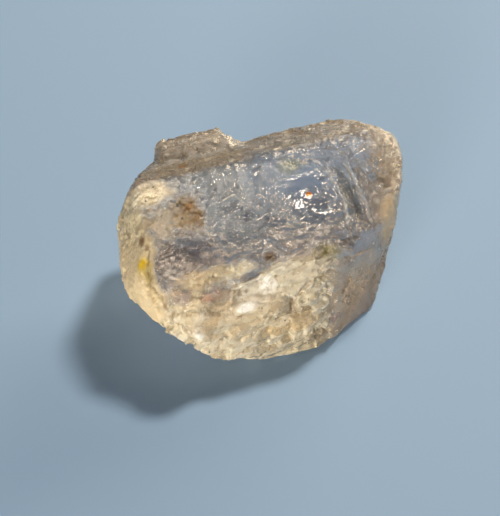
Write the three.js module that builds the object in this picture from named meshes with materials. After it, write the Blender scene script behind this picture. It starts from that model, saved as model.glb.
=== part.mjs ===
// A waterworn topaz crystal lying on its side, in millimetres, +Z up.
// +X runs along the prism axis. The crystal rests on a flat prism face at z = 0, and the origin is on that
// face, below the middle of the crystal.
import * as THREE from "three";
import { ImprovedNoise } from "three/addons/math/ImprovedNoise.js";

// The upper ridge, where the two m prism faces meet
const RIDGE_Y = 3.3;
const RIDGE_Z = 16.6;
// Tilts from upright of the normals of the m and l prism faces of topaz, in degrees
const M_TILT = 27;
const L_TILT = 46.6;
// How far wear has rounded the edges between faces, those of the crest and the rims of the chips
const WORN_EDGE = 0.36;
const CREST_EDGE = 0.1;
const CHIP_EDGE = 0.14;
// Grid step of the skin
const CELL = 0.74;

// Unit normal of a face that looks towards an azimuth (0 along +X, 90 along +Y) and an elevation, in degrees
function facing(azimuth, elevation) {
  const a = THREE.MathUtils.degToRad(azimuth);
  const e = THREE.MathUtils.degToRad(elevation);
  return new THREE.Vector3(
    Math.cos(a) * Math.cos(e),
    Math.sin(a) * Math.cos(e),
    Math.sin(e),
  );
}

// A half space: the signed distance of a point in front of the face through (x, y, z)
function face(azimuth, elevation, x, y, z) {
  const normal = facing(azimuth, elevation);
  const offset = normal.dot(new THREE.Vector3(x, y, z));
  return (p) => normal.dot(p) - offset;
}

// The solid behind all the faces, with its edges worn round
function behind(faces, edge) {
  return (p) => {
    const distances = faces.map((distance) => distance(p));
    const most = Math.max(...distances);
    const sum = distances.reduce((s, d) => s + Math.exp((d - most) / edge), 0);
    return most + edge * Math.log(sum);
  };
}

const LOOKS_UP = 90 - M_TILT;
const FRONT = -90;
const BACK = 90;
const LEFT = 180;
const RIGHT = 0;

const prism = behind(
  [
    face(FRONT, LOOKS_UP, 0, RIDGE_Y, RIDGE_Z),
    face(BACK, LOOKS_UP, 0, RIDGE_Y, RIDGE_Z),
    face(FRONT, 90 - L_TILT, 0, -7.4, 10.2),
    face(FRONT, 3, 0, -9.4, 6),
    face(FRONT, -25, 0, -9.1, 1.5),
    face(BACK, 3, 0, 11.8, 12),
    face(BACK, -38, 0, 10.2, 6),
    face(LEFT, -55, -3.9, 0, 0.2),
    face(LEFT, 25, -13.7, 2, 11),
    face(LEFT, -20, -14.5, 0, 8),
    face(160, -5, -13.1, 5, 9.3),
    face(-142, 5, -12.8, -5.8, 8),
    face(140, 20, -9.8, 8, 13.5),
    face(-118, -45, -5.2, -8.4, 1.5),
    face(-15, -4, 15.3, 0, 12),
    face(15, 5, 16.5, 4.5, 12.5),
    face(30, 45, 15.5, 7, 13.6),
    face(RIGHT, -30, 14, 0, 4),
    face(-40, -5, 12.2, -4, 4),
    face(-64, 0, 8.7, -6.2, 4),
  ],
  WORN_EDGE,
);

const crest = behind(
  [
    face(FRONT, 45, -4, 8, 14),
    face(FRONT, 85, -4, 9.6, 15.3),
    face(BACK, -6, -4, 10.9, 14),
    face(LEFT, 8, -7.1, 8, 14),
    face(RIGHT, 45, 1.1, 9, 14),
    face(RIGHT, -90, 0, 0, 10),
  ],
  CREST_EDGE,
);

// Chips in the skin: each is a ball, or a rod where it has a second end, that bites this deep below the skin
// near its place. The order matters, because a chip bites into what the chips before it have left.
const CHIPS = [
  { at: [-10.1, -4.2, 12.5], radius: 7, depth: 0.55 },
  { at: [-5.2, -7.9, 9.4], radius: 8, depth: 0.9 },
  { at: [-2.3, -8.5, 8.4], radius: 4.5, depth: 0.45 },
  { at: [-10.3, -6.4, 10], radius: 3, depth: 0.35 },
  { at: [-6.9, -7.3, 9.6], radius: 4, depth: 0.35 },
  { at: [1.2, -8.4, 8.2], to: [-0.6, -8.9, 6.6], radius: 1.4, depth: 0.35 },
  { at: [3.6, -8.7, 2.6], radius: 5, depth: 0.4 },
  { at: [1.5, -8.5, 1.3], radius: 1.2, depth: 0.35 },
  { at: [4.8, -1.3, 14.1], radius: 14, depth: 0.22 },
  { at: [9, 1.8, 15.6], to: [10.5, -4.6, 11.9], radius: 1.3, depth: 0.6 },
  { at: [7.4, 2.4, 16], radius: 2, depth: 0.45 },
  { at: [12.8, -1, 14.2], radius: 2.6, depth: 0.3 },
  { at: [12.2, -4.1, 5.2], radius: 4, depth: 0.4 },
  { at: [-12.1, -2.6, 13.2], to: [-12.5, -4.4, 11.2], radius: 1.5, depth: 0.3 },
  { at: [-12.5, -4.4, 11.2], to: [-11.6, -6.6, 8], radius: 1.3, depth: 0.45 },
  { at: [-10.4, -7.7, 5], radius: 4, depth: 0.9 },
];

const relief = new ImprovedNoise();
// Heights of the skin's own unevenness: broad swells, then lumps
const SWELL = { size: 6.5, height: 0.3 };
const LUMP = { size: 2.2, height: 0.14 };

function unevenness(p) {
  return [SWELL, LUMP].reduce(
    (sum, { size, height }) =>
      sum + height * relief.noise(p.x / size, p.y / size + 7.3, p.z / size),
    0,
  );
}

// Slope of a signed distance
function slopeOf(distance, point) {
  const small = 0.02;
  return new THREE.Vector3(
    ...["x", "y", "z"].map((axis) => {
      const ahead = point.clone();
      const back = point.clone();
      ahead[axis] += small;
      back[axis] -= small;
      return (distance(ahead) - distance(back)) / (2 * small);
    }),
  );
}

// Moves a point along the slope of the distance until it lies on the surface, but no farther than the reach
function settle(start, distance, reach = Infinity) {
  const point = start.clone();
  for (let round = 0; round < 4; round++) {
    const slope = slopeOf(distance, point);
    point.addScaledVector(slope, -distance(point) / slope.lengthSq());
  }
  return point.distanceTo(start) < reach ? point : start;
}

// The solid without the ball or rod of a chip
function chipped(distance, { at, to = at, radius, depth }) {
  const [from, until] = [at, to].map((place) => {
    const point = settle(new THREE.Vector3(...place), distance);
    const out = slopeOf(distance, point).normalize();
    return point.addScaledVector(out, radius - depth);
  });
  const axis = new THREE.Line3(from, until);
  const nearest = new THREE.Vector3();
  return (p) => {
    axis.closestPointToPoint(p, true, nearest);
    const bite = radius - p.distanceTo(nearest);
    const body = distance(p);
    const most = Math.max(body, bite);
    const least = Math.min(body, bite);
    return most + CHIP_EDGE * Math.log(1 + Math.exp((least - most) / CHIP_EDGE));
  };
}

const grown = (p) => Math.min(prism(p), crest(p));
const chippedBody = CHIPS.reduce(chipped, grown);
const crystal = (p) => Math.max(chippedBody(p) + unevenness(p), -p.z);

// The skin of a solid given by its signed distance: one vertex for each grid cell that the surface crosses,
// moved onto the surface, and one pair of triangles for each grid edge that it crosses
function skin(distance, low, high, cell) {
  const count = high.clone().sub(low).divideScalar(cell).ceil().addScalar(1);
  const corner = (i, j, k) =>
    new THREE.Vector3(i, j, k).multiplyScalar(cell).add(low);
  const index = (i, j, k) => (k * count.y + j) * count.x + i;
  const value = new Float64Array(count.x * count.y * count.z);
  for (let k = 0; k < count.z; k++)
    for (let j = 0; j < count.y; j++)
      for (let i = 0; i < count.x; i++)
        value[index(i, j, k)] = distance(corner(i, j, k));

  const vertices = [];
  const vertexOf = new Map();
  for (let k = 0; k < count.z - 1; k++)
    for (let j = 0; j < count.y - 1; j++)
      for (let i = 0; i < count.x - 1; i++) {
        const crossing = middleOfCrossings(i, j, k, value, index, corner);
        if (!crossing) continue;
        vertexOf.set(index(i, j, k), vertices.length / 3);
        const vertex = settle(crossing, distance, cell / 4);
        vertex.z = Math.max(vertex.z, 0);
        vertices.push(...vertex.toArray());
      }

  const triangles = [];
  const steps = [
    [1, 0, 0],
    [0, 1, 0],
    [0, 0, 1],
  ];
  for (let k = 1; k < count.z - 1; k++)
    for (let j = 1; j < count.y - 1; j++)
      for (let i = 1; i < count.x - 1; i++)
        steps.forEach((step, axis) => {
          const here = value[index(i, j, k)];
          const there = value[index(i + step[0], j + step[1], k + step[2])];
          if (here < 0 === there < 0) return;
          const u = steps[(axis + 1) % 3];
          const v = steps[(axis + 2) % 3];
          const around = [
            [0, 0],
            [1, 0],
            [1, 1],
            [0, 1],
          ].map(([a, b]) =>
            vertexOf.get(
              index(
                i - a * u[0] - b * v[0],
                j - a * u[1] - b * v[1],
                k - a * u[2] - b * v[2],
              ),
            ),
          );
          if (here >= 0) around.reverse();
          triangles.push(...splitQuad(around, vertices));
        });

  const geometry = new THREE.BufferGeometry();
  geometry.setAttribute(
    "position",
    new THREE.Float32BufferAttribute(vertices, 3),
  );
  geometry.setIndex(triangles);
  return geometry;
}

// Mean of the points where the surface crosses a grid cell's edges, or null
function middleOfCrossings(i, j, k, value, index, corner) {
  const sum = new THREE.Vector3();
  let crossings = 0;
  for (let c = 0; c < 8; c++)
    for (const bit of [1, 2, 4]) {
      if (c & bit) continue;
      const [a, b] = [c, c | bit].map((n) => [
        i + (n & 1),
        j + ((n >> 1) & 1),
        k + ((n >> 2) & 1),
      ]);
      const [from, to] = [value[index(...a)], value[index(...b)]];
      if (from < 0 === to < 0) continue;
      sum.add(corner(...a).lerp(corner(...b), from / (from - to)));
      crossings++;
    }
  return crossings ? sum.divideScalar(crossings) : null;
}

// Two triangles for four corners, split along the shorter diagonal
function splitQuad([a, b, c, d], vertices) {
  const at = (n) => new THREE.Vector3().fromArray(vertices, n * 3);
  return at(a).distanceTo(at(c)) < at(b).distanceTo(at(d))
    ? [a, b, c, a, c, d]
    : [a, b, d, b, c, d];
}

// The grid's layers straddle z = 0, so that one layer of its cells holds the whole flat face
const LOW = new THREE.Vector3(-18, -12, -1.5 * CELL);
const HIGH = new THREE.Vector3(19, 14, 20);
const geometry = skin(crystal, LOW, HIGH, CELL);
geometry.computeBoundingBox();
const middle = geometry.boundingBox.getCenter(new THREE.Vector3());
geometry.translate(-middle.x, -middle.y, 0);
geometry.computeVertexNormals();

const topaz = new THREE.Mesh(
  geometry,
  new THREE.MeshStandardMaterial({
    color: 0xd9cfc0,
    roughness: 0.3,
    metalness: 0,
  }),
);
topaz.name = "topaz_crystal";

const specimen = new THREE.Group();
specimen.add(topaz);
export default specimen;
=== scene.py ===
"""A waterworn topaz crystal on a pale floor, in warm light from the upper right, behind and the front left."""
import math
from collections import namedtuple

import bmesh
import bpy
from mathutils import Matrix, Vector


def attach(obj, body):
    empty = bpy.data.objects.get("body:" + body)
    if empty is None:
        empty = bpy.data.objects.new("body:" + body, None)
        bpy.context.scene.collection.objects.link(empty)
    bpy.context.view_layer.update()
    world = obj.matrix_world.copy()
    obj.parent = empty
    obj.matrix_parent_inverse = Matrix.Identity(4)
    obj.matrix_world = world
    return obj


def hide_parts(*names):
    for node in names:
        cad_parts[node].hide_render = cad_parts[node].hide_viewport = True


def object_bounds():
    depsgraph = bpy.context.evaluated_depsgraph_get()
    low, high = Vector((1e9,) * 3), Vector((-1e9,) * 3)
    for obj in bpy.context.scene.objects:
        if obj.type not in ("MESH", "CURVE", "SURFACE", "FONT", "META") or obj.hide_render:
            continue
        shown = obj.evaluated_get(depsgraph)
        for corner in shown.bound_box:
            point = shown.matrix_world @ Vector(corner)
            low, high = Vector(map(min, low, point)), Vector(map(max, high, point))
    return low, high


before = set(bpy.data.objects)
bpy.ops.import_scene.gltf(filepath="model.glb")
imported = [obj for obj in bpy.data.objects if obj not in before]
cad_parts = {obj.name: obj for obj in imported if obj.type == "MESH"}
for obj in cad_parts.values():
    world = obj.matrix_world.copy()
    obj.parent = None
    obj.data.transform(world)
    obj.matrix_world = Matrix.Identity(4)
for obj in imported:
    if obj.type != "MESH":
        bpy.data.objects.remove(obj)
CAD_LOW, CAD_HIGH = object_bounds()
MM = 0.001

# The camera stands to the front left of the crystal and above it
CAMERA_AZIMUTH = math.radians(-21)
CAMERA_ELEVATION = math.radians(42)
CAMERA_DISTANCE = 160 * MM
CAMERA_AIM = Vector((-2.23, -2.28, 7.48)) * MM
TO_CAMERA = Vector((
    math.sin(CAMERA_AZIMUTH) * math.cos(CAMERA_ELEVATION),
    -math.cos(CAMERA_AZIMUTH) * math.cos(CAMERA_ELEVATION),
    math.sin(CAMERA_ELEVATION),
))
PHOTO_HEIGHT = 516
FOCAL_LENGTH_IN_PIXELS = 1600
SENSOR_IN_MM = 36


# Node helpers


def add(tree, kind, **settings):
    """A node of this kind with some of its properties set."""
    node = tree.nodes.new(kind)
    for key, value in settings.items():
        setattr(node, key, value)
    return node


def feed(tree, node, **inputs):
    """Sets a node's inputs, by name or as i0, i1 and so on: a socket is linked, anything else is its value."""
    for key, value in inputs.items():
        socket = node.inputs[int(key[1:])] if key[1:].isdigit() else node.inputs[key]
        if isinstance(value, bpy.types.NodeSocket):
            tree.links.new(value, socket)
        else:
            socket.default_value = value
    return node


def maths(tree, operation, a, b=0.0, c=0.0, clamp=False):
    """The result of a Math node."""
    node = add(tree, "ShaderNodeMath", operation=operation, use_clamp=clamp)
    return feed(tree, node, i0=a, i1=b, i2=c).outputs[0]


def vectors(tree, operation, a, b=(0.0, 0.0, 0.0), output="Vector"):
    """The result of a Vector Math node."""
    node = add(tree, "ShaderNodeVectorMath", operation=operation)
    return feed(tree, node, i0=a, i1=b).outputs[output]


def scaled(tree, vector, factor):
    """A vector times a number."""
    node = add(tree, "ShaderNodeVectorMath", operation="SCALE")
    return feed(tree, node, i0=vector, Scale=factor).outputs[0]


def between(tree, value, low, high):
    """0 where the value is below low, 1 above high, smooth between. With low above high it falls instead."""
    node = add(tree, "ShaderNodeMapRange", interpolation_type="SMOOTHSTEP", clamp=True)
    feed(tree, node, Value=value)
    node.inputs["From Min"].default_value = low
    node.inputs["From Max"].default_value = high
    return node.outputs["Result"]


def tint(tree, below, colour, mask):
    """A colour over another where a mask is."""
    node = add(tree, "ShaderNodeMix", data_type="RGBA", blend_type="MIX")
    lower, upper = [socket for socket in node.inputs if socket.type == "RGBA"]
    tree.links.new(mask, node.inputs[0])
    if isinstance(below, bpy.types.NodeSocket):
        tree.links.new(below, lower)
    else:
        lower.default_value = (*below, 1)
    upper.default_value = (*colour, 1)
    return [socket for socket in node.outputs if socket.type == "RGBA"][0]


def level(tree, below, value, mask):
    """A number over another where a mask is."""
    node = add(tree, "ShaderNodeMix", data_type="FLOAT")
    return feed(tree, node, i0=mask, i2=below, i3=value).outputs[0]


def most(tree, *masks):
    """The largest of some masks."""
    total = masks[0]
    for mask in masks[1:]:
        total = maths(tree, "MAXIMUM", total, mask)
    return total


def times(tree, *factors):
    """The product of some numbers."""
    total = factors[0]
    for factor in factors[1:]:
        total = maths(tree, "MULTIPLY", total, factor)
    return total


def axes(tree, at):
    """The x, y and z of a place."""
    node = add(tree, "ShaderNodeSeparateXYZ")
    tree.links.new(at, node.inputs[0])
    return node.outputs[0], node.outputs[1], node.outputs[2]


def one_over(tree, size):
    """One over a number, which may be a socket."""
    if isinstance(size, bpy.types.NodeSocket):
        return maths(tree, "DIVIDE", 1.0, size)
    return 1.0 / size


def noise(tree, at, size, detail=2.0, rough=0.5):
    """Noise of features about this size, from about -0.5 to 0.5."""
    node = add(tree, "ShaderNodeTexNoise", noise_dimensions="3D")
    feed(tree, node, Vector=at, Scale=one_over(tree, size), Detail=detail, Roughness=rough)
    return maths(tree, "SUBTRACT", node.outputs[0], 0.5)


def bent(tree, at, size, reach):
    """A place moved about at random, by up to about a third of the reach."""
    node = add(tree, "ShaderNodeTexNoise", noise_dimensions="3D")
    feed(tree, node, Vector=at, Scale=1.0 / size, Detail=2.0)
    way = vectors(tree, "SUBTRACT", node.outputs["Color"], (0.5, 0.5, 0.5))
    return vectors(tree, "ADD", at, scaled(tree, way, reach))


# Taken off the tilts of facets, which are 0 to 1 along each axis, so that more of them lean one way
FACET_LEAN = (0.70, 0.76, 0.5)


def facets(tree, at, size, seed):
    """Height of flat facets of about this size, each with its own tilt, and a random number for each."""
    cells = add(tree, "ShaderNodeTexVoronoi", feature="F1")
    moved = vectors(tree, "ADD", at, (seed, 2 * seed, 3 * seed))
    feed(tree, cells, Vector=moved, Scale=one_over(tree, size), Randomness=1.0)
    from_middle = vectors(tree, "SUBTRACT", moved, cells.outputs["Position"])
    tilt = vectors(tree, "SUBTRACT", cells.outputs["Color"], FACET_LEAN)
    height = vectors(tree, "DOT_PRODUCT", from_middle, tilt, output="Value")
    return height, axes(tree, cells.outputs["Color"])[0]


# What is where on the crystal, in millimetres. Frost is roughness, and clear is the share of light that goes
# through. Ragged is how far the edge of a mark strays, soft how wide the edge is, both as shares of its reach,
# and strength is how much of the mark shows.

Mark = namedtuple("Mark", "middle reach shade frost clear ragged soft strength", defaults=(0.5, 0.4, 1.0))

MARKS = {
    # Painted shade and painted reflection: dark, grey and blue tones for the shadowed floor and the blue floor
    # seen through the clear glass. The blue haze is partly real frost, and the trough is a groove painted dark.
    "blue haze": Mark((-1.8, -0.1, 15.5), (0.7, 1.6, 1.0), (0.66, 0.74, 0.92), 0.22, 0.92),
    "dark facet": Mark((-10.0, -5.4, 12.1), (3.5, 2.1, 1.8), (0.38, 0.39, 0.50), 0.20, 0.95),
    "grey side": Mark((-11.8, -6.2, 11.2), (1.2, 1.5, 1.3), (0.36, 0.42, 0.58), 0.22, 0.94),
    "darkest part": Mark((-9.1, -4.6, 12.9), (2.2, 0.9, 0.9), (0.12, 0.12, 0.18), 0.15, 0.96, 1.0, 0.6, 0.8),
    "dark pool left": Mark((-4.4, -2.0, 14.4), (1.3, 0.5, 0.6), (0.15, 0.17, 0.24), 0.14, 0.97, 1.2, 0.7, 0.7),
    "dark pool": Mark((-3.0, -3.1, 13.9), (1.0, 0.7, 0.6), (0.15, 0.17, 0.26), 0.14, 0.97, 1.2, 0.7, 0.7),
    "dark pool low": Mark((-4.7, -4.9, 12.8), (1.3, 0.6, 0.6), (0.16, 0.18, 0.26), 0.14, 0.97, 1.2, 0.7, 0.7),
    "dark pool right": Mark((-0.4, -4.3, 13.3), (1.3, 0.6, 0.6), (0.15, 0.18, 0.28), 0.14, 0.97, 1.2, 0.7, 0.7),
    "window": Mark((3.9, -2.7, 13.9), (2.3, 2.9, 2.6), (0.47, 0.52, 0.66), 0.12, 0.96, 0.6, 0.5),
    "trough": Mark((8.0, -3.0, 13.6), (0.9, 3.2, 2.4), (0.28, 0.28, 0.27), 0.16, 0.95, 0.8, 0.5),
    "golden side": Mark((6.8, -7.6, 5.5), (4.2, 2.0, 3.8), (0.88, 0.68, 0.42), 0.28, 0.82, 0.8, 0.6, 0.8),
    "right rim": Mark((11.6, -5.3, 10.5), (1.2, 1.5, 3.0), (0.80, 0.60, 0.36), 0.40, 0.60),
    "cream frost": Mark((-11.4, 1.2, 15.9), (2.5, 1.4, 1.8), (1.00, 0.90, 0.70), 0.60, 0.20),
    "limonite halo": Mark((-11.0, -1.9, 14.7), (1.8, 1.6, 1.6), (0.78, 0.60, 0.34), 0.50, 0.70, 1.0, 0.6, 0.7),
    "limonite": Mark((-8.5, -1.7, 14.7), (1.6, 2.2, 1.6), (0.30, 0.18, 0.05), 0.50, 0.35, 1.1, 0.7, 0.9),
    "limonite edge": Mark((-7.6, -2.1, 14.5), (0.5, 1.6, 1.2), (0.20, 0.10, 0.03), 0.50, 0.35, 1.1, 0.4, 0.9),
    "limonite clot": Mark((-8.1, -1.0, 15.1), (0.6, 0.5, 0.6), (0.30, 0.15, 0.05), 0.50, 0.40, 0.6),
    "yellow glow": Mark((-13.8, -4.4, 11.9), (0.8, 0.9, 1.1), (0.88, 0.68, 0.18), 0.45, 0.55, 0.4, 0.6, 0.8),
    "yellow": Mark((-13.9, -4.2, 12.1), (0.5, 0.5, 0.6), (0.76, 0.50, 0.01), 0.40, 0.40, 0.3),
    "olive trail": Mark((-13.6, -5.0, 11.0), (0.5, 0.9, 1.2), (0.50, 0.38, 0.10), 0.40, 0.50, 0.5, 0.5, 0.7),
    "lobe spot": Mark((-13.4, -2.5, 13.4), (0.4, 0.5, 0.5), (0.20, 0.10, 0.03), 0.50, 0.40, 0.8),
    "lobe dot": Mark((-13.2, -3.4, 13.3), (0.3, 0.3, 0.3), (0.20, 0.10, 0.03), 0.50, 0.40, 0.8),
    "crest spot": Mark((-6.7, 4.7, 15.3), (0.5, 0.6, 0.5), (0.34, 0.18, 0.07), 0.50, 0.50, 0.8),
    "grain band": Mark((-8.2, -7.3, 11.0), (3.4, 1.1, 0.9), (0.95, 0.80, 0.54), 0.40, 0.62, 0.7),
    "cream patch": Mark((-4.9, -7.1, 10.9), (1.6, 0.9, 0.8), (1.00, 0.89, 0.66), 0.30, 0.45, 0.8, 0.4, 0.8),
    # Painted shade: grey and purple-grey tones on smooth clear facets, where the glass shows the shadowed floor
    "grey patch left": Mark((-11.2, -8.0, 10.1), (0.9, 0.7, 0.8), (0.55, 0.53, 0.62), 0.25, 0.90),
    "purple patch": Mark((-7.6, -8.0, 9.3), (1.8, 0.8, 0.6), (0.44, 0.40, 0.50), 0.22, 0.92),
    "red tint": Mark((-8.9, -8.3, 9.5), (0.5, 0.4, 0.5), (0.64, 0.24, 0.20), 0.30, 0.80, 0.5, 0.5, 0.7),
    # Painted light: a bright cream glow where light comes out through the front
    "bright zone": Mark((-4.4, -8.9, 8.9), (2.6, 1.3, 1.3), (1.00, 0.95, 0.82), 0.36, 0.66),
    # Painted shade: a dark grey hollow
    "dark hollow": Mark((-4.0, -7.7, 10.2), (1.1, 0.5, 0.6), (0.34, 0.36, 0.42), 0.20, 0.93),
    # Painted highlights: white spots where light flashes out of the front
    "white glint": Mark((-2.7, -8.7, 9.6), (0.8, 0.7, 0.9), (1.00, 1.00, 0.98), 0.30, 0.25, 0.9),
    "white oval": Mark((-5.3, -9.2, 7.9), (1.0, 0.6, 0.45), (1.00, 1.00, 0.98), 0.30, 0.25, 0.3),
    "white wedge": Mark((-9.4, -9.5, 8.6), (1.3, 0.5, 0.45), (1.00, 0.99, 0.93), 0.30, 0.30, 0.6),
    "white streak": Mark((-10.5, -10.4, 7.4), (0.5, 0.5, 0.9), (1.00, 0.98, 0.92), 0.30, 0.30, 0.6),
    "pitted band": Mark((-1.2, -10.6, 5.3), (3.6, 1.6, 1.2), (0.96, 0.76, 0.44), 0.50, 0.50, 0.6),
    "front spot": Mark((-1.9, -6.9, 11.5), (0.8, 0.6, 0.7), (0.11, 0.06, 0.02), 0.40, 0.40, 0.9),
    "olive": Mark((3.7, -7.7, 10.9), (1.4, 0.9, 0.9), (0.24, 0.20, 0.03), 0.40, 0.60, 0.6, 0.6, 0.95),
    "olive below": Mark((2.2, -9.4, 9.4), (0.7, 0.5, 0.5), (0.42, 0.32, 0.10), 0.40, 0.75, 0.6, 0.6, 0.7),
    "olive ridge": Mark((3.0, 0.4, 15.8), (1.2, 0.8, 0.9), (0.58, 0.54, 0.20), 0.30, 0.85, 0.6, 0.6, 0.7),
    "purple tint": Mark((4.2, -9.1, 3.2), (0.8, 0.6, 0.6), (0.36, 0.20, 0.32), 0.35, 0.80, 0.5, 0.5, 0.7),
    # Painted shade: a dark grey slit
    "slit": Mark((6.3, -8.0, 8.8), (0.3, 0.4, 0.6), (0.25, 0.25, 0.28), 0.30, 0.80, 0.3, 0.4, 0.8),
}

# Sparkling rough spots on the otherwise smooth upper part: middle and reach
SPARKLES = (
    ((7.3, 1.2, 15.7), (2.4, 1.5, 1.4)),
    ((3.7, 0.9, 16.0), (1.2, 0.7, 0.7)),
    ((11.6, -1.8, 14.4), (1.5, 2.1, 1.8)),
    ((6.1, -7.0, 11.4), (1.6, 1.2, 1.2)),
    ((-6.8, -2.6, 14.3), (0.9, 0.6, 0.6)),
)

Line = namedtuple("Line", "width height shade strength points")

BROWN = (0.12, 0.06, 0.02)
PAINTED_HIGHLIGHT_CREAM = (1.0, 0.93, 0.78)

# Cracks and creases, with a negative height, and raised edges that catch the light, painted cream as highlights
LINES = {
    "lobe edge": Line(0.20, -0.16, BROWN, 0.75, (
        (-13.1, -3.7, 13.2), (-13.5, -4.7, 11.8), (-13.6, -5.7, 10.2), (-12.9, -6.6, 9.3), (-12.7, -7.5, 8.5),
    )),
    "leaf crack": Line(0.22, -0.30, BROWN, 0.95, ((-0.9, -10.1, 7.0), (0.0, -9.8, 8.5), (1.3, -9.4, 9.5))),
    "notch crack": Line(0.24, -0.30, BROWN, 1.0, (
        (0.5, -9.9, 1.4), (0.9, -10.4, 2.7), (1.4, -10.2, 3.2), (2.3, -9.9, 3.9), (4.2, -9.1, 3.2),
    )),
    "band crack": Line(0.12, -0.14, BROWN, 0.5, ((-1.0, -10.6, 4.6), (0.9, -10.4, 4.7), (2.3, -9.9, 3.9))),
    "limonite row": Line(0.16, -0.10, BROWN, 1.0, (
        (-10.2, -3.3, 14.0), (-9.6, -3.5, 13.9), (-8.9, -3.6, 13.9),
    )),
    "limonite crack": Line(0.12, -0.10, BROWN, 0.7, (
        (-11.4, -1.7, 14.8), (-10.6, -1.0, 15.2), (-9.8, -0.8, 15.2), (-9.1, -0.7, 15.2),
    )),
    "band top": Line(0.12, -0.12, BROWN, 0.5, ((-6.5, -6.8, 11.3), (-5.6, -6.4, 11.8), (-3.4, -6.2, 12.0))),
    "front ridge": Line(0.26, 0.24, PAINTED_HIGHLIGHT_CREAM, 0.8, (
        (-6.7, -9.0, 8.2), (-6.0, -7.9, 9.4), (-4.5, -8.0, 9.8), (-2.3, -8.1, 10.6), (-0.2, -7.8, 10.9),
    )),
    "curl left": Line(0.20, 0.22, PAINTED_HIGHLIGHT_CREAM, 0.7, ((-4.8, -1.3, 14.9), (-3.4, -1.0, 15.1))),
    "curl": Line(0.13, 0.14, PAINTED_HIGHLIGHT_CREAM, 0.6, ((-3.4, -1.1, 15.0), (-2.8, -2.0, 14.5), (-1.7, -2.9, 14.1))),
    "trough left": Line(0.22, 0.18, PAINTED_HIGHLIGHT_CREAM, 0.5, (
        (6.4, -0.7, 15.1), (6.9, -2.8, 14.0), (7.0, -4.6, 13.1), (6.6, -6.0, 12.1),
    )),
    "trough right": Line(0.22, 0.18, PAINTED_HIGHLIGHT_CREAM, 0.4, (
        (8.7, -0.1, 14.9), (9.2, -2.2, 13.5), (9.4, -4.1, 12.3), (9.3, -5.6, 11.4),
    )),
    "right streak": Line(0.16, 0.10, PAINTED_HIGHLIGHT_CREAM, 0.5, ((8.8, -6.7, 9.3), (9.3, -6.4, 6.9))),
}

BLACK_DOTS = (
    (-3.53, -7.81, 10.35),
    (-1.22, -10.5, 5.95),
    (-7.65, -10.74, 5.05),
    (-9.11, -1.99, 14.63),
    (-9.1, -0.7, 15.2),
)
BLACK_DOT_RADIUS = 0.18
ORANGE_SPOT = (3.88, -2.51, 14.04)
ORANGE_SPOT_RADIUS = 0.36

# Lines lie on the skin as the camera sees it, so most of their depth along its line of sight is left out
DEPTH_LEFT_OUT = 0.8


def patch(tree, at, middle, reach, stray=None, soft=0.4):
    """1 inside an ellipsoid, 0 outside. Its edge strays by a number socket, if one is given."""
    away = vectors(tree, "DIVIDE", vectors(tree, "SUBTRACT", at, middle), reach)
    size = vectors(tree, "LENGTH", away, output="Value")
    if stray is not None:
        size = maths(tree, "ADD", size, stray)
    return between(tree, size, 1 + soft, 1 - soft)


def pressed_point(point):
    """A point of a line, pressed flat along the camera's line of sight."""
    return Vector(point) - DEPTH_LEFT_OUT * TO_CAMERA * TO_CAMERA.dot(Vector(point))


def pressed_place(tree, at):
    """A place of the skin, pressed flat as the points of the lines are, and bent so that lines look natural."""
    wavy = bent(tree, at, 0.7, 0.6)
    depth = vectors(tree, "DOT_PRODUCT", wavy, TO_CAMERA, output="Value")
    return vectors(tree, "SUBTRACT", wavy, scaled(tree, scaled(tree, TO_CAMERA, depth), DEPTH_LEFT_OUT))


def along(tree, pressed, line):
    """1 on a line, fading to 0 at its width to each side, at a pressed place."""
    points = [pressed_point(point) for point in line.points]
    nearest = 100.0
    for start, end in zip(points, points[1:]):
        way = end - start
        from_start = vectors(tree, "SUBTRACT", pressed, start)
        share = vectors(tree, "DOT_PRODUCT", from_start, way / way.length_squared, output="Value")
        share = maths(tree, "ADD", share, 0.0, clamp=True)
        apart = vectors(tree, "SUBTRACT", from_start, scaled(tree, way, share))
        nearest = maths(tree, "MINIMUM", nearest, vectors(tree, "LENGTH", apart, output="Value"))
    return between(tree, nearest, line.width, 0.0)


# The crystal's skin

VOXEL = 0.17 * MM
WELD_DISTANCE = 1e-7

# Sizes, heights and depths in millimetres, and tilts as slopes
ETCHING = {
    "Lump height": 0.11,
    "Lump size": 1.8,
    "Growth line depth": 0.07,
    "Growth line spacing": 0.5,
    "Flake tilt": 0.44,
    "Flake size": 2.8,
    "Chip tilt": 0.48,
    "Chip size": 1.5,
    "Grain tilt": 0.55,
    "Grain size": 0.45,
}

# The zones of the crystal, in the order in which they are painted over each other
Zones = namedtuple("Zones", "back crest right lobe front")
Look = namedtuple("Look", "shade frost clear")

CLEAR_SKIN = Look((0.66, 0.69, 0.78), 0.15, 0.955)
CLOUDS = Look((0.58, 0.60, 0.72), 0.22, 0.93)
CLOUD_STRENGTH = 0.7
ZONE_LOOKS = Zones(
    back=Look((0.74, 0.56, 0.38), 0.28, 0.89),
    crest=Look((0.88, 0.76, 0.62), 0.24, 0.86),
    right=Look((0.82, 0.66, 0.48), 0.28, 0.86),
    lobe=Look((1.00, 0.84, 0.54), 0.40, 0.62),
    front=Look((1.00, 0.91, 0.67), 0.18, 0.68),
)
# Lines let less light through, so the brown of cracks and the painted cream highlight of raised edges show
LINE_CLEARNESS = 0.4

Textures = namedtuple("Textures", "sparkling frosted smooth broken")

FROSTED_MARKS = ("cream frost", "limonite", "grain band", "pitted band")
SMOOTH_MARKS = ("window", "white oval")
SPARKLE_FROST = 0.14

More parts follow.
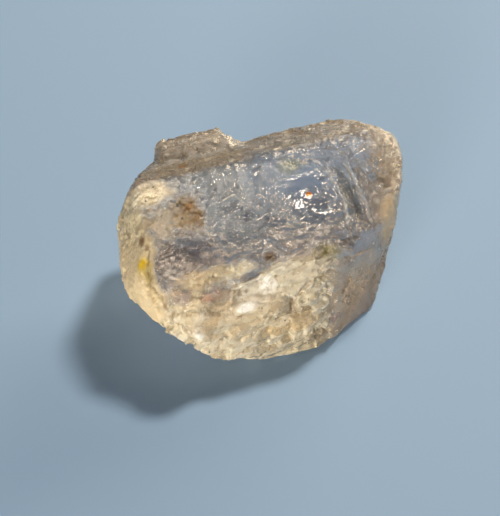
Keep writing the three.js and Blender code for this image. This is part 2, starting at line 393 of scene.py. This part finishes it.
# Some chips and grains of the broken front are glassy and darker, others white, partly as painted reflections
# of dark and bright surroundings and partly from tiny cracks
GLASSY_SHADE = (0.74, 0.58, 0.36)
GLASSY_CLEARNESS = 0.92
WHITE_SHADE = (1.0, 0.98, 0.88)
WHITE_CLEARNESS = 0.45
CHIP_CONTRAST = 0.35
GRAIN_CONTRAST = 0.25


def fine_skin():
    """The crystal's solid as one fine even skin."""
    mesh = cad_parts["topaz_crystal"].data.copy()
    shape = bmesh.new()
    shape.from_mesh(mesh)
    bmesh.ops.remove_doubles(shape, verts=shape.verts, dist=WELD_DISTANCE)
    shape.to_mesh(mesh)
    shape.free()
    body = bpy.data.objects.new("fine_skin", mesh)
    bpy.context.scene.collection.objects.link(body)
    remesh = body.modifiers.new("fine skin", "REMESH")
    remesh.mode = "VOXEL"
    remesh.voxel_size = VOXEL
    return body


def zones(tree, at):
    """Masks of the back, the crest, the right end, the left lobe and the broken front."""
    x, y, z = axes(tree, at)
    stray = noise(tree, at, 1.4, 3.0)
    front = between(tree, maths(tree, "MULTIPLY_ADD", stray, 1.5, y), -7.1, -8.0)
    return Zones(
        back=times(tree, between(tree, y, 1.9, 2.9), between(tree, z, 6.0, 13.0)),
        crest=times(tree, between(tree, y, 5.6, 6.4), between(tree, x, 1.6, 0.4)),
        right=between(tree, maths(tree, "MULTIPLY_ADD", y, -0.35, x), 10.4, 13.6),
        lobe=between(tree, maths(tree, "MULTIPLY_ADD", stray, 1.6, x), -12.1, -13.1),
        front=times(tree, front, between(tree, x, 7.0, 1.5)),
    )


def painted(tree, at, stray, zone, creases):
    """The skin's colour, frost and clearness, with painted shade and highlights among its marks."""
    colour, frost, clear = CLEAR_SKIN
    cloud = between(tree, noise(tree, at, 1.5, 3.0, 0.6), -0.03, 0.13)
    looks = [(times(tree, cloud, CLOUD_STRENGTH), CLOUDS), *zip(zone, ZONE_LOOKS)]
    for mark in MARKS.values():
        ragged = times(tree, stray, 2 * mark.ragged)
        mask = times(tree, patch(tree, at, mark.middle, mark.reach, ragged, mark.soft), mark.strength)
        looks.append((mask, mark))
    for mask, look in looks:
        colour = tint(tree, colour, look.shade, mask)
        frost = level(tree, frost, look.frost, mask)
        clear = level(tree, clear, look.clear, mask)
    # Cracks are painted brown, and raised edges painted cream as highlights
    for crease, line in creases:
        mask = times(tree, crease, line.strength)
        colour = tint(tree, colour, line.shade, mask)
        clear = level(tree, clear, LINE_CLEARNESS, mask)
    return colour, frost, clear


def any_mark(tree, at, names, stray=None):
    """1 in any of these marks, 0 outside them."""
    return most(tree, *[patch(tree, at, MARKS[name].middle, MARKS[name].reach, stray) for name in names])


def value_of(sockets):
    """The socket in use among a node's inputs or outputs for the kinds of value that it can take."""
    return [socket for socket in sockets if socket.name == "Value" and socket.enabled][0]


def remember(tree, shape, name, kind, value):
    """Keeps a value at each point of a shape under a name."""
    node = add(tree, "GeometryNodeStoreNamedAttribute", data_type=kind, domain="POINT")
    feed(tree, node, Geometry=shape, Name=name)
    tree.links.new(value, value_of(node.inputs))
    return node.outputs[0]


def worn(tree, shape, place, crest):
    """A shape with its edges rounded by wear, those of the crest less."""
    blur = add(tree, "GeometryNodeBlurAttribute", data_type="FLOAT_VECTOR")
    tree.links.new(place, value_of(blur.inputs))
    feed(tree, blur, Iterations=6, Weight=level(tree, 1.0, 0.25, crest))
    move = add(tree, "GeometryNodeSetPosition")
    return feed(tree, move, Geometry=shape, Position=value_of(blur.outputs)).outputs[0]


def textures(tree, at, stray, zone):
    """Masks of the sparkling, the frosted and the smooth places, and of all that is broken."""
    sparkling = most(tree, *[patch(tree, at, middle, reach, stray) for middle, reach in SPARKLES])
    frosted = any_mark(tree, at, FROSTED_MARKS, stray)
    return Textures(
        sparkling=sparkling,
        frosted=frosted,
        smooth=any_mark(tree, at, SMOOTH_MARKS),
        broken=most(tree, zone.lobe, zone.front, frosted, sparkling),
    )


def relief(tree, at, zone, texture, given):
    """Height of the etching in millimetres, and the random numbers of its chips and of its grains."""
    lumps = times(tree, noise(tree, at, given["Lump size"], 3.0, 0.55), given["Lump height"])
    # Growth lines run along the prism, and flakes, chips and grains are longer that way
    lengthwise = vectors(tree, "MULTIPLY", at, (0.12, 1, 1))
    growth = noise(tree, lengthwise, given["Growth line spacing"], 2.0, 0.6)
    growth = times(tree, growth, given["Growth line depth"], level(tree, 1.0, 1.6, zone.crest))
    longish = vectors(tree, "MULTIPLY", at, (0.6, 1, 1))
    flakes = facets(tree, bent(tree, longish, 1.6, 1.6), given["Flake size"], 0.0)[0]
    flakes = times(tree, flakes, given["Flake tilt"], level(tree, 0.25, 1.0, zone.front))
    chips, chip_chance = facets(tree, bent(tree, longish, 0.8, 0.8), given["Chip size"], 3.0)
    chips = times(tree, chips, given["Chip tilt"], level(tree, 0.22, 1.0, texture.broken))
    chips = times(tree, chips, level(tree, 1.0, 0.4, zone.lobe))
    grains, grain_chance = facets(tree, bent(tree, longish, 0.5, 0.4), given["Grain size"], 5.0)
    grains = times(tree, grains, given["Grain tilt"], level(tree, 0.6, 1.0, texture.broken))
    grains = times(tree, grains, level(tree, 1.0, 1.5, texture.sparkling))
    grains = times(tree, grains, level(tree, 1.0, 0.45, most(tree, zone.lobe, zone.front)))
    height = lumps
    for part in (growth, flakes, chips, grains):
        height = maths(tree, "ADD", height, part)
    return times(tree, height, level(tree, 1.0, 0.15, texture.smooth)), chip_chance, grain_chance


def contrasted(tree, colour, clear, where, chip_chance, grain_chance):
    """A colour and clearness with some chips and grains glassy and others white, partly painted reflections."""
    for chance, contrast in ((chip_chance, CHIP_CONTRAST), (grain_chance, GRAIN_CONTRAST)):
        glassy = times(tree, between(tree, chance, 0.22, 0.16), where, contrast)
        white = times(tree, between(tree, chance, 0.66, 0.74), where, contrast)
        colour = tint(tree, tint(tree, colour, GLASSY_SHADE, glassy), WHITE_SHADE, white)
        clear = level(tree, level(tree, clear, GLASSY_CLEARNESS, glassy), WHITE_CLEARNESS, white)
    return colour, clear


def etching_tree():
    """Geometry Nodes that wear, paint and etch a skin and press the lines into it."""
    tree = bpy.data.node_groups.new("etched skin", "GeometryNodeTree")
    sockets = tree.interface
    sockets.new_socket("Geometry", in_out="INPUT", socket_type="NodeSocketGeometry")
    for name, value in ETCHING.items():
        socket = sockets.new_socket(name, in_out="INPUT", socket_type="NodeSocketFloat")
        socket.default_value = value
    sockets.new_socket("Crystal", in_out="INPUT", socket_type="NodeSocketMaterial")
    sockets.new_socket("Geometry", in_out="OUTPUT", socket_type="NodeSocketGeometry")
    given = add(tree, "NodeGroupInput").outputs
    end = add(tree, "NodeGroupOutput")

    place = add(tree, "GeometryNodeInputPosition").outputs[0]
    normal = add(tree, "GeometryNodeInputNormal").outputs[0]
    at = vectors(tree, "MULTIPLY", place, (1000, 1000, 1000))
    zone = zones(tree, at)
    stray = noise(tree, at, 0.8, 4.0, 0.65)
    texture = textures(tree, at, stray, zone)
    pressed = pressed_place(tree, at)
    creases = [(along(tree, pressed, line), line) for line in LINES.values()]

    height, chip_chance, grain_chance = relief(tree, at, zone, texture, given)
    for crease, line in creases:
        height = maths(tree, "MULTIPLY_ADD", crease, line.height, height)
    # The flat face that the crystal rests on isn't etched
    height = times(tree, height, between(tree, axes(tree, at)[2], 0.05, 0.6), MM)
    moved = vectors(tree, "ADD", place, scaled(tree, normal, height))
    inside = vectors(tree, "MAXIMUM", vectors(tree, "MINIMUM", moved, CAD_HIGH[:]), CAD_LOW[:])

    colour, frost, clear = painted(tree, at, stray, zone, creases)
    frost = level(tree, frost, SPARKLE_FROST, texture.sparkling)
    rough_front = times(tree, zone.front, level(tree, 1.0, 0.1, texture.smooth))
    colour, clear = contrasted(tree, colour, clear, rough_front, chip_chance, grain_chance)
    etched = times(tree, level(tree, 0.75, 1.0, texture.broken), level(tree, 1.0, 0.3, texture.smooth))

    shape = worn(tree, given["Geometry"], place, zone.crest)
    # The colour kept here holds the stains and also the painted shade and highlights of the marks
    for name, kind, value in (
        ("stain_and_painted_light", "FLOAT_VECTOR", colour),
        ("frost", "FLOAT", frost),
        ("clearness", "FLOAT", clear),
        ("etched", "FLOAT", etched),
        ("grainy", "FLOAT", texture.frosted),
    ):
        shape = remember(tree, shape, name, kind, value)
    shift = add(tree, "GeometryNodeSetPosition")
    feed(tree, shift, Geometry=shape, Position=inside)
    real = add(tree, "GeometryNodeRealizeInstances")
    feed(tree, real, Geometry=shift.outputs[0])
    paint = add(tree, "GeometryNodeSetMaterial")
    feed(tree, paint, Geometry=real.outputs[0], Material=given["Crystal"])
    feed(tree, end, i0=paint.outputs[0])
    return tree


def set_input(modifier, name, value):
    """Sets a Geometry Nodes modifier's input by the name of its socket."""
    for item in modifier.node_group.interface.items_tree:
        if item.item_type == "SOCKET" and item.in_out == "INPUT" and item.name == name:
            modifier[item.identifier] = value


def finished(rough, name):
    """A plain mesh object of what the modifiers make of a rough one, which is removed."""
    result = rough.evaluated_get(bpy.context.evaluated_depsgraph_get())
    mesh = bpy.data.meshes.new_from_object(result)
    mesh.name = name
    piece = bpy.data.objects.new(name, mesh)
    bpy.context.scene.collection.objects.link(piece)
    bpy.data.objects.remove(rough)
    mesh.polygons.foreach_set("use_smooth", [True] * len(mesh.polygons))
    return piece


# The crystal's material

IOR = 1.62
ABSORPTION_COLOUR = (0.94, 0.82, 0.66, 1)
ABSORPTION_DENSITY = 30.0
PIT_SHADE = (0.50, 0.34, 0.16)
ORANGE = (0.42, 0.13, 0.01)
BLACK = (0.02, 0.015, 0.01)
SPECKS_PER_MM = 1.7
SPECK_CLEARNESS = 0.15


def topaz():
    """Clear pale champagne topaz, etched, frosted and stained in places, with the painted shade and highlights
    of its skin colour.
    """
    material = bpy.data.materials.new("pale champagne topaz")
    material.use_nodes = True
    tree = material.node_tree
    tree.nodes.clear()
    out = add(tree, "ShaderNodeOutputMaterial")
    skin = add(tree, "ShaderNodeBsdfPrincipled")
    body = add(tree, "ShaderNodeVolumeAbsorption")
    feed(tree, body, Color=ABSORPTION_COLOUR, Density=ABSORPTION_DENSITY)
    feed(tree, out, Surface=skin.outputs[0], Volume=body.outputs[0])
    place = add(tree, "ShaderNodeTexCoord").outputs["Object"]
    at = vectors(tree, "MULTIPLY", place, (1000, 1000, 1000))

    def kept(name, output="Fac"):
        return add(tree, "ShaderNodeAttribute", attribute_name=name).outputs[output]

    fine_facets = facets(tree, at, 0.26, 9.0)[0]
    fine = noise(tree, at, 0.14, 2.0, 0.6)
    pits = times(tree, between(tree, fine, 0.02, -0.10), kept("grainy"))
    # Small specks of iron oxide in the grainy parts, and the few larger dots
    cells = add(tree, "ShaderNodeTexVoronoi", feature="F1")
    feed(tree, cells, Vector=at, Scale=SPECKS_PER_MM)
    chosen = between(tree, axes(tree, cells.outputs["Color"])[0], 0.70, 0.72)
    specks = times(tree, between(tree, cells.outputs["Distance"], 0.20, 0.12), chosen, kept("grainy"))
    dot_reach = (BLACK_DOT_RADIUS,) * 3
    dots = most(tree, *[patch(tree, at, dot, dot_reach, soft=0.3) for dot in BLACK_DOTS])
    orange = patch(tree, at, ORANGE_SPOT, (ORANGE_SPOT_RADIUS,) * 3, soft=0.15)
    colour = kept("stain_and_painted_light", "Color")
    for shade, mask in (
        (PIT_SHADE, times(tree, pits, 0.55)),
        (BROWN, specks),
        (ORANGE, orange),
        (BLACK, dots),
    ):
        colour = tint(tree, colour, shade, mask)
    clear = level(tree, kept("clearness"), SPECK_CLEARNESS, most(tree, dots, specks, orange))
    uneven = times(tree, noise(tree, at, 0.8, 3.0, 0.7), 0.30)
    frost = maths(tree, "ADD", kept("frost"), uneven, clamp=True)
    etch = maths(tree, "MULTIPLY_ADD", fine, 0.10, times(tree, fine_facets, 0.9))
    bump = add(tree, "ShaderNodeBump")
    feed(tree, bump, Height=times(tree, etch, kept("etched")), Distance=MM, Strength=0.7)
    feed(tree, skin, Roughness=frost, IOR=IOR, Normal=bump.outputs[0])
    tree.links.new(colour, skin.inputs["Base Color"])
    tree.links.new(clear, skin.inputs["Transmission Weight"])
    return material


# Floor, lights and camera

FLOOR_HALF_WIDTH = 600 * MM
FLOOR_GAP = 0.01 * MM
PALE_BLUE_GREY = (0.27, 0.41, 0.62, 1)
LIGHTS_AIM = Vector((0, 0, 8)) * MM


def pale_floor():
    """A pale blue-grey floor, just below the crystal's flat face."""
    mesh = bpy.data.meshes.new("floor")
    half = FLOOR_HALF_WIDTH
    low = CAD_LOW.z - FLOOR_GAP
    corners = [(-half, -half, low), (half, -half, low), (half, half, low), (-half, half, low)]
    mesh.from_pydata(corners, [], [(0, 1, 2, 3)])
    floor = bpy.data.objects.new("floor", mesh)
    bpy.context.scene.collection.objects.link(floor)
    material = bpy.data.materials.new("pale blue-grey floor")
    material.use_nodes = True
    shader = material.node_tree.nodes["Principled BSDF"]
    shader.inputs["Base Color"].default_value = PALE_BLUE_GREY
    shader.inputs["Roughness"].default_value = 0.9
    floor.data.materials.append(material)


def soft_light(name, direction, distance, size, power, colour):
    """A round area light in this direction from the crystal, aimed at its middle. Lengths are in metres."""
    light = bpy.data.lights.new(name, "AREA")
    light.shape = "DISK"
    light.size = size
    light.energy = power
    light.color = colour
    lamp = bpy.data.objects.new(name, light)
    bpy.context.scene.collection.objects.link(lamp)
    away = Vector(direction).normalized()
    lamp.location = away * distance + LIGHTS_AIM
    lamp.rotation_euler = away.to_track_quat("Z", "Y").to_euler()


def studio():
    """A warm key from the upper right, low warm lights behind and to the front left, and a dim world."""
    soft_light("key", (0.54, 0.26, 1), 0.5, 0.09, 2.0, (1, 0.88, 0.72))
    soft_light("glow", (0.85, 0.50, 0.04), 0.45, 0.45, 4.8, (1, 0.84, 0.60))
    soft_light("fill", (-0.70, -0.80, 0.06), 0.55, 0.22, 5.8, (1, 0.91, 0.74))
    world = bpy.data.worlds.new("studio")
    bpy.context.scene.world = world
    world.use_nodes = True
    background = world.node_tree.nodes["Background"]
    background.inputs["Color"].default_value = (0.80, 0.86, 1, 1)
    background.inputs["Strength"].default_value = 0.08
    bpy.context.scene.view_settings.view_transform = "Standard"


def photo_camera():
    """The photograph's camera."""
    data = bpy.data.cameras.new("camera")
    data.sensor_width = SENSOR_IN_MM
    data.lens = FOCAL_LENGTH_IN_PIXELS / PHOTO_HEIGHT * SENSOR_IN_MM
    camera = bpy.data.objects.new("camera", data)
    bpy.context.scene.collection.objects.link(camera)
    camera.location = CAMERA_AIM + TO_CAMERA * CAMERA_DISTANCE
    camera.rotation_euler = TO_CAMERA.to_track_quat("Z", "Y").to_euler()
    bpy.context.scene.camera = camera


photo_camera()
studio()
pale_floor()

rough = fine_skin()
etch = rough.modifiers.new("etching", "NODES")
etch.node_group = etching_tree()
set_input(etch, "Crystal", topaz())
crystal = finished(rough, "etched_crystal")
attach(crystal, "root")
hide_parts("topaz_crystal")
